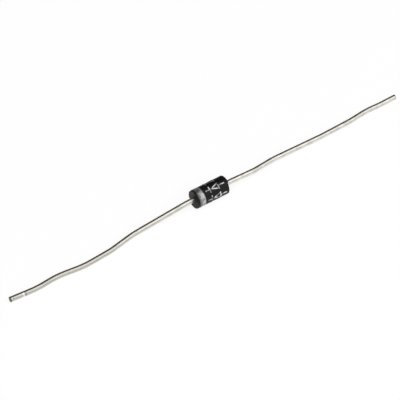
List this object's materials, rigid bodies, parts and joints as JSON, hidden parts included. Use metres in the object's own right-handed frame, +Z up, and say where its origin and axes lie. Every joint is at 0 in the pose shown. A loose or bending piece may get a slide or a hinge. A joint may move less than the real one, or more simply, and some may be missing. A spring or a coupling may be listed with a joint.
{
  "type": "axial rectifier diode",
  "caption": "Axial rectifier diode: a black moulded cylinder with a silver band at its cathode end and a long, slightly bent tinned wire lead out of each end.",
  "frame": {"origin": "on the table, under the middle of the whole part: the body lies within a quarter of a millimetre of it", "axes": "+X runs along the body from the cathode (banded end) to the anode, +Z is up off the table, +Y is across"},
  "size_m": [0.0642, 0.0028, 0.0026],
  "materials": {
    "moulded_epoxy": "moulded, faintly shiny, rubbed",
    "tinned_wire": "drawn and tinned, dull with scuffs",
    "silicon": "lapped chip with sawn sides",
    "solder": "dull",
    "silicone": "cured, soft",
    "silver_ink": "printed, patchy",
    "white_ink": "printed, thin in places"
  },
  "bodies": {
    "root": {"epoxy_body": "moulded_epoxy", "cathode_lead": "tinned_wire", "anode_lead": "tinned_wire", "silicon_die": "silicon", "cathode_solder": "solder", "anode_solder": "solder", "junction_coating": "silicone", "cathode_band": "silver_ink", "polarity_print": "white_ink"}
  },
  "joints": []
}
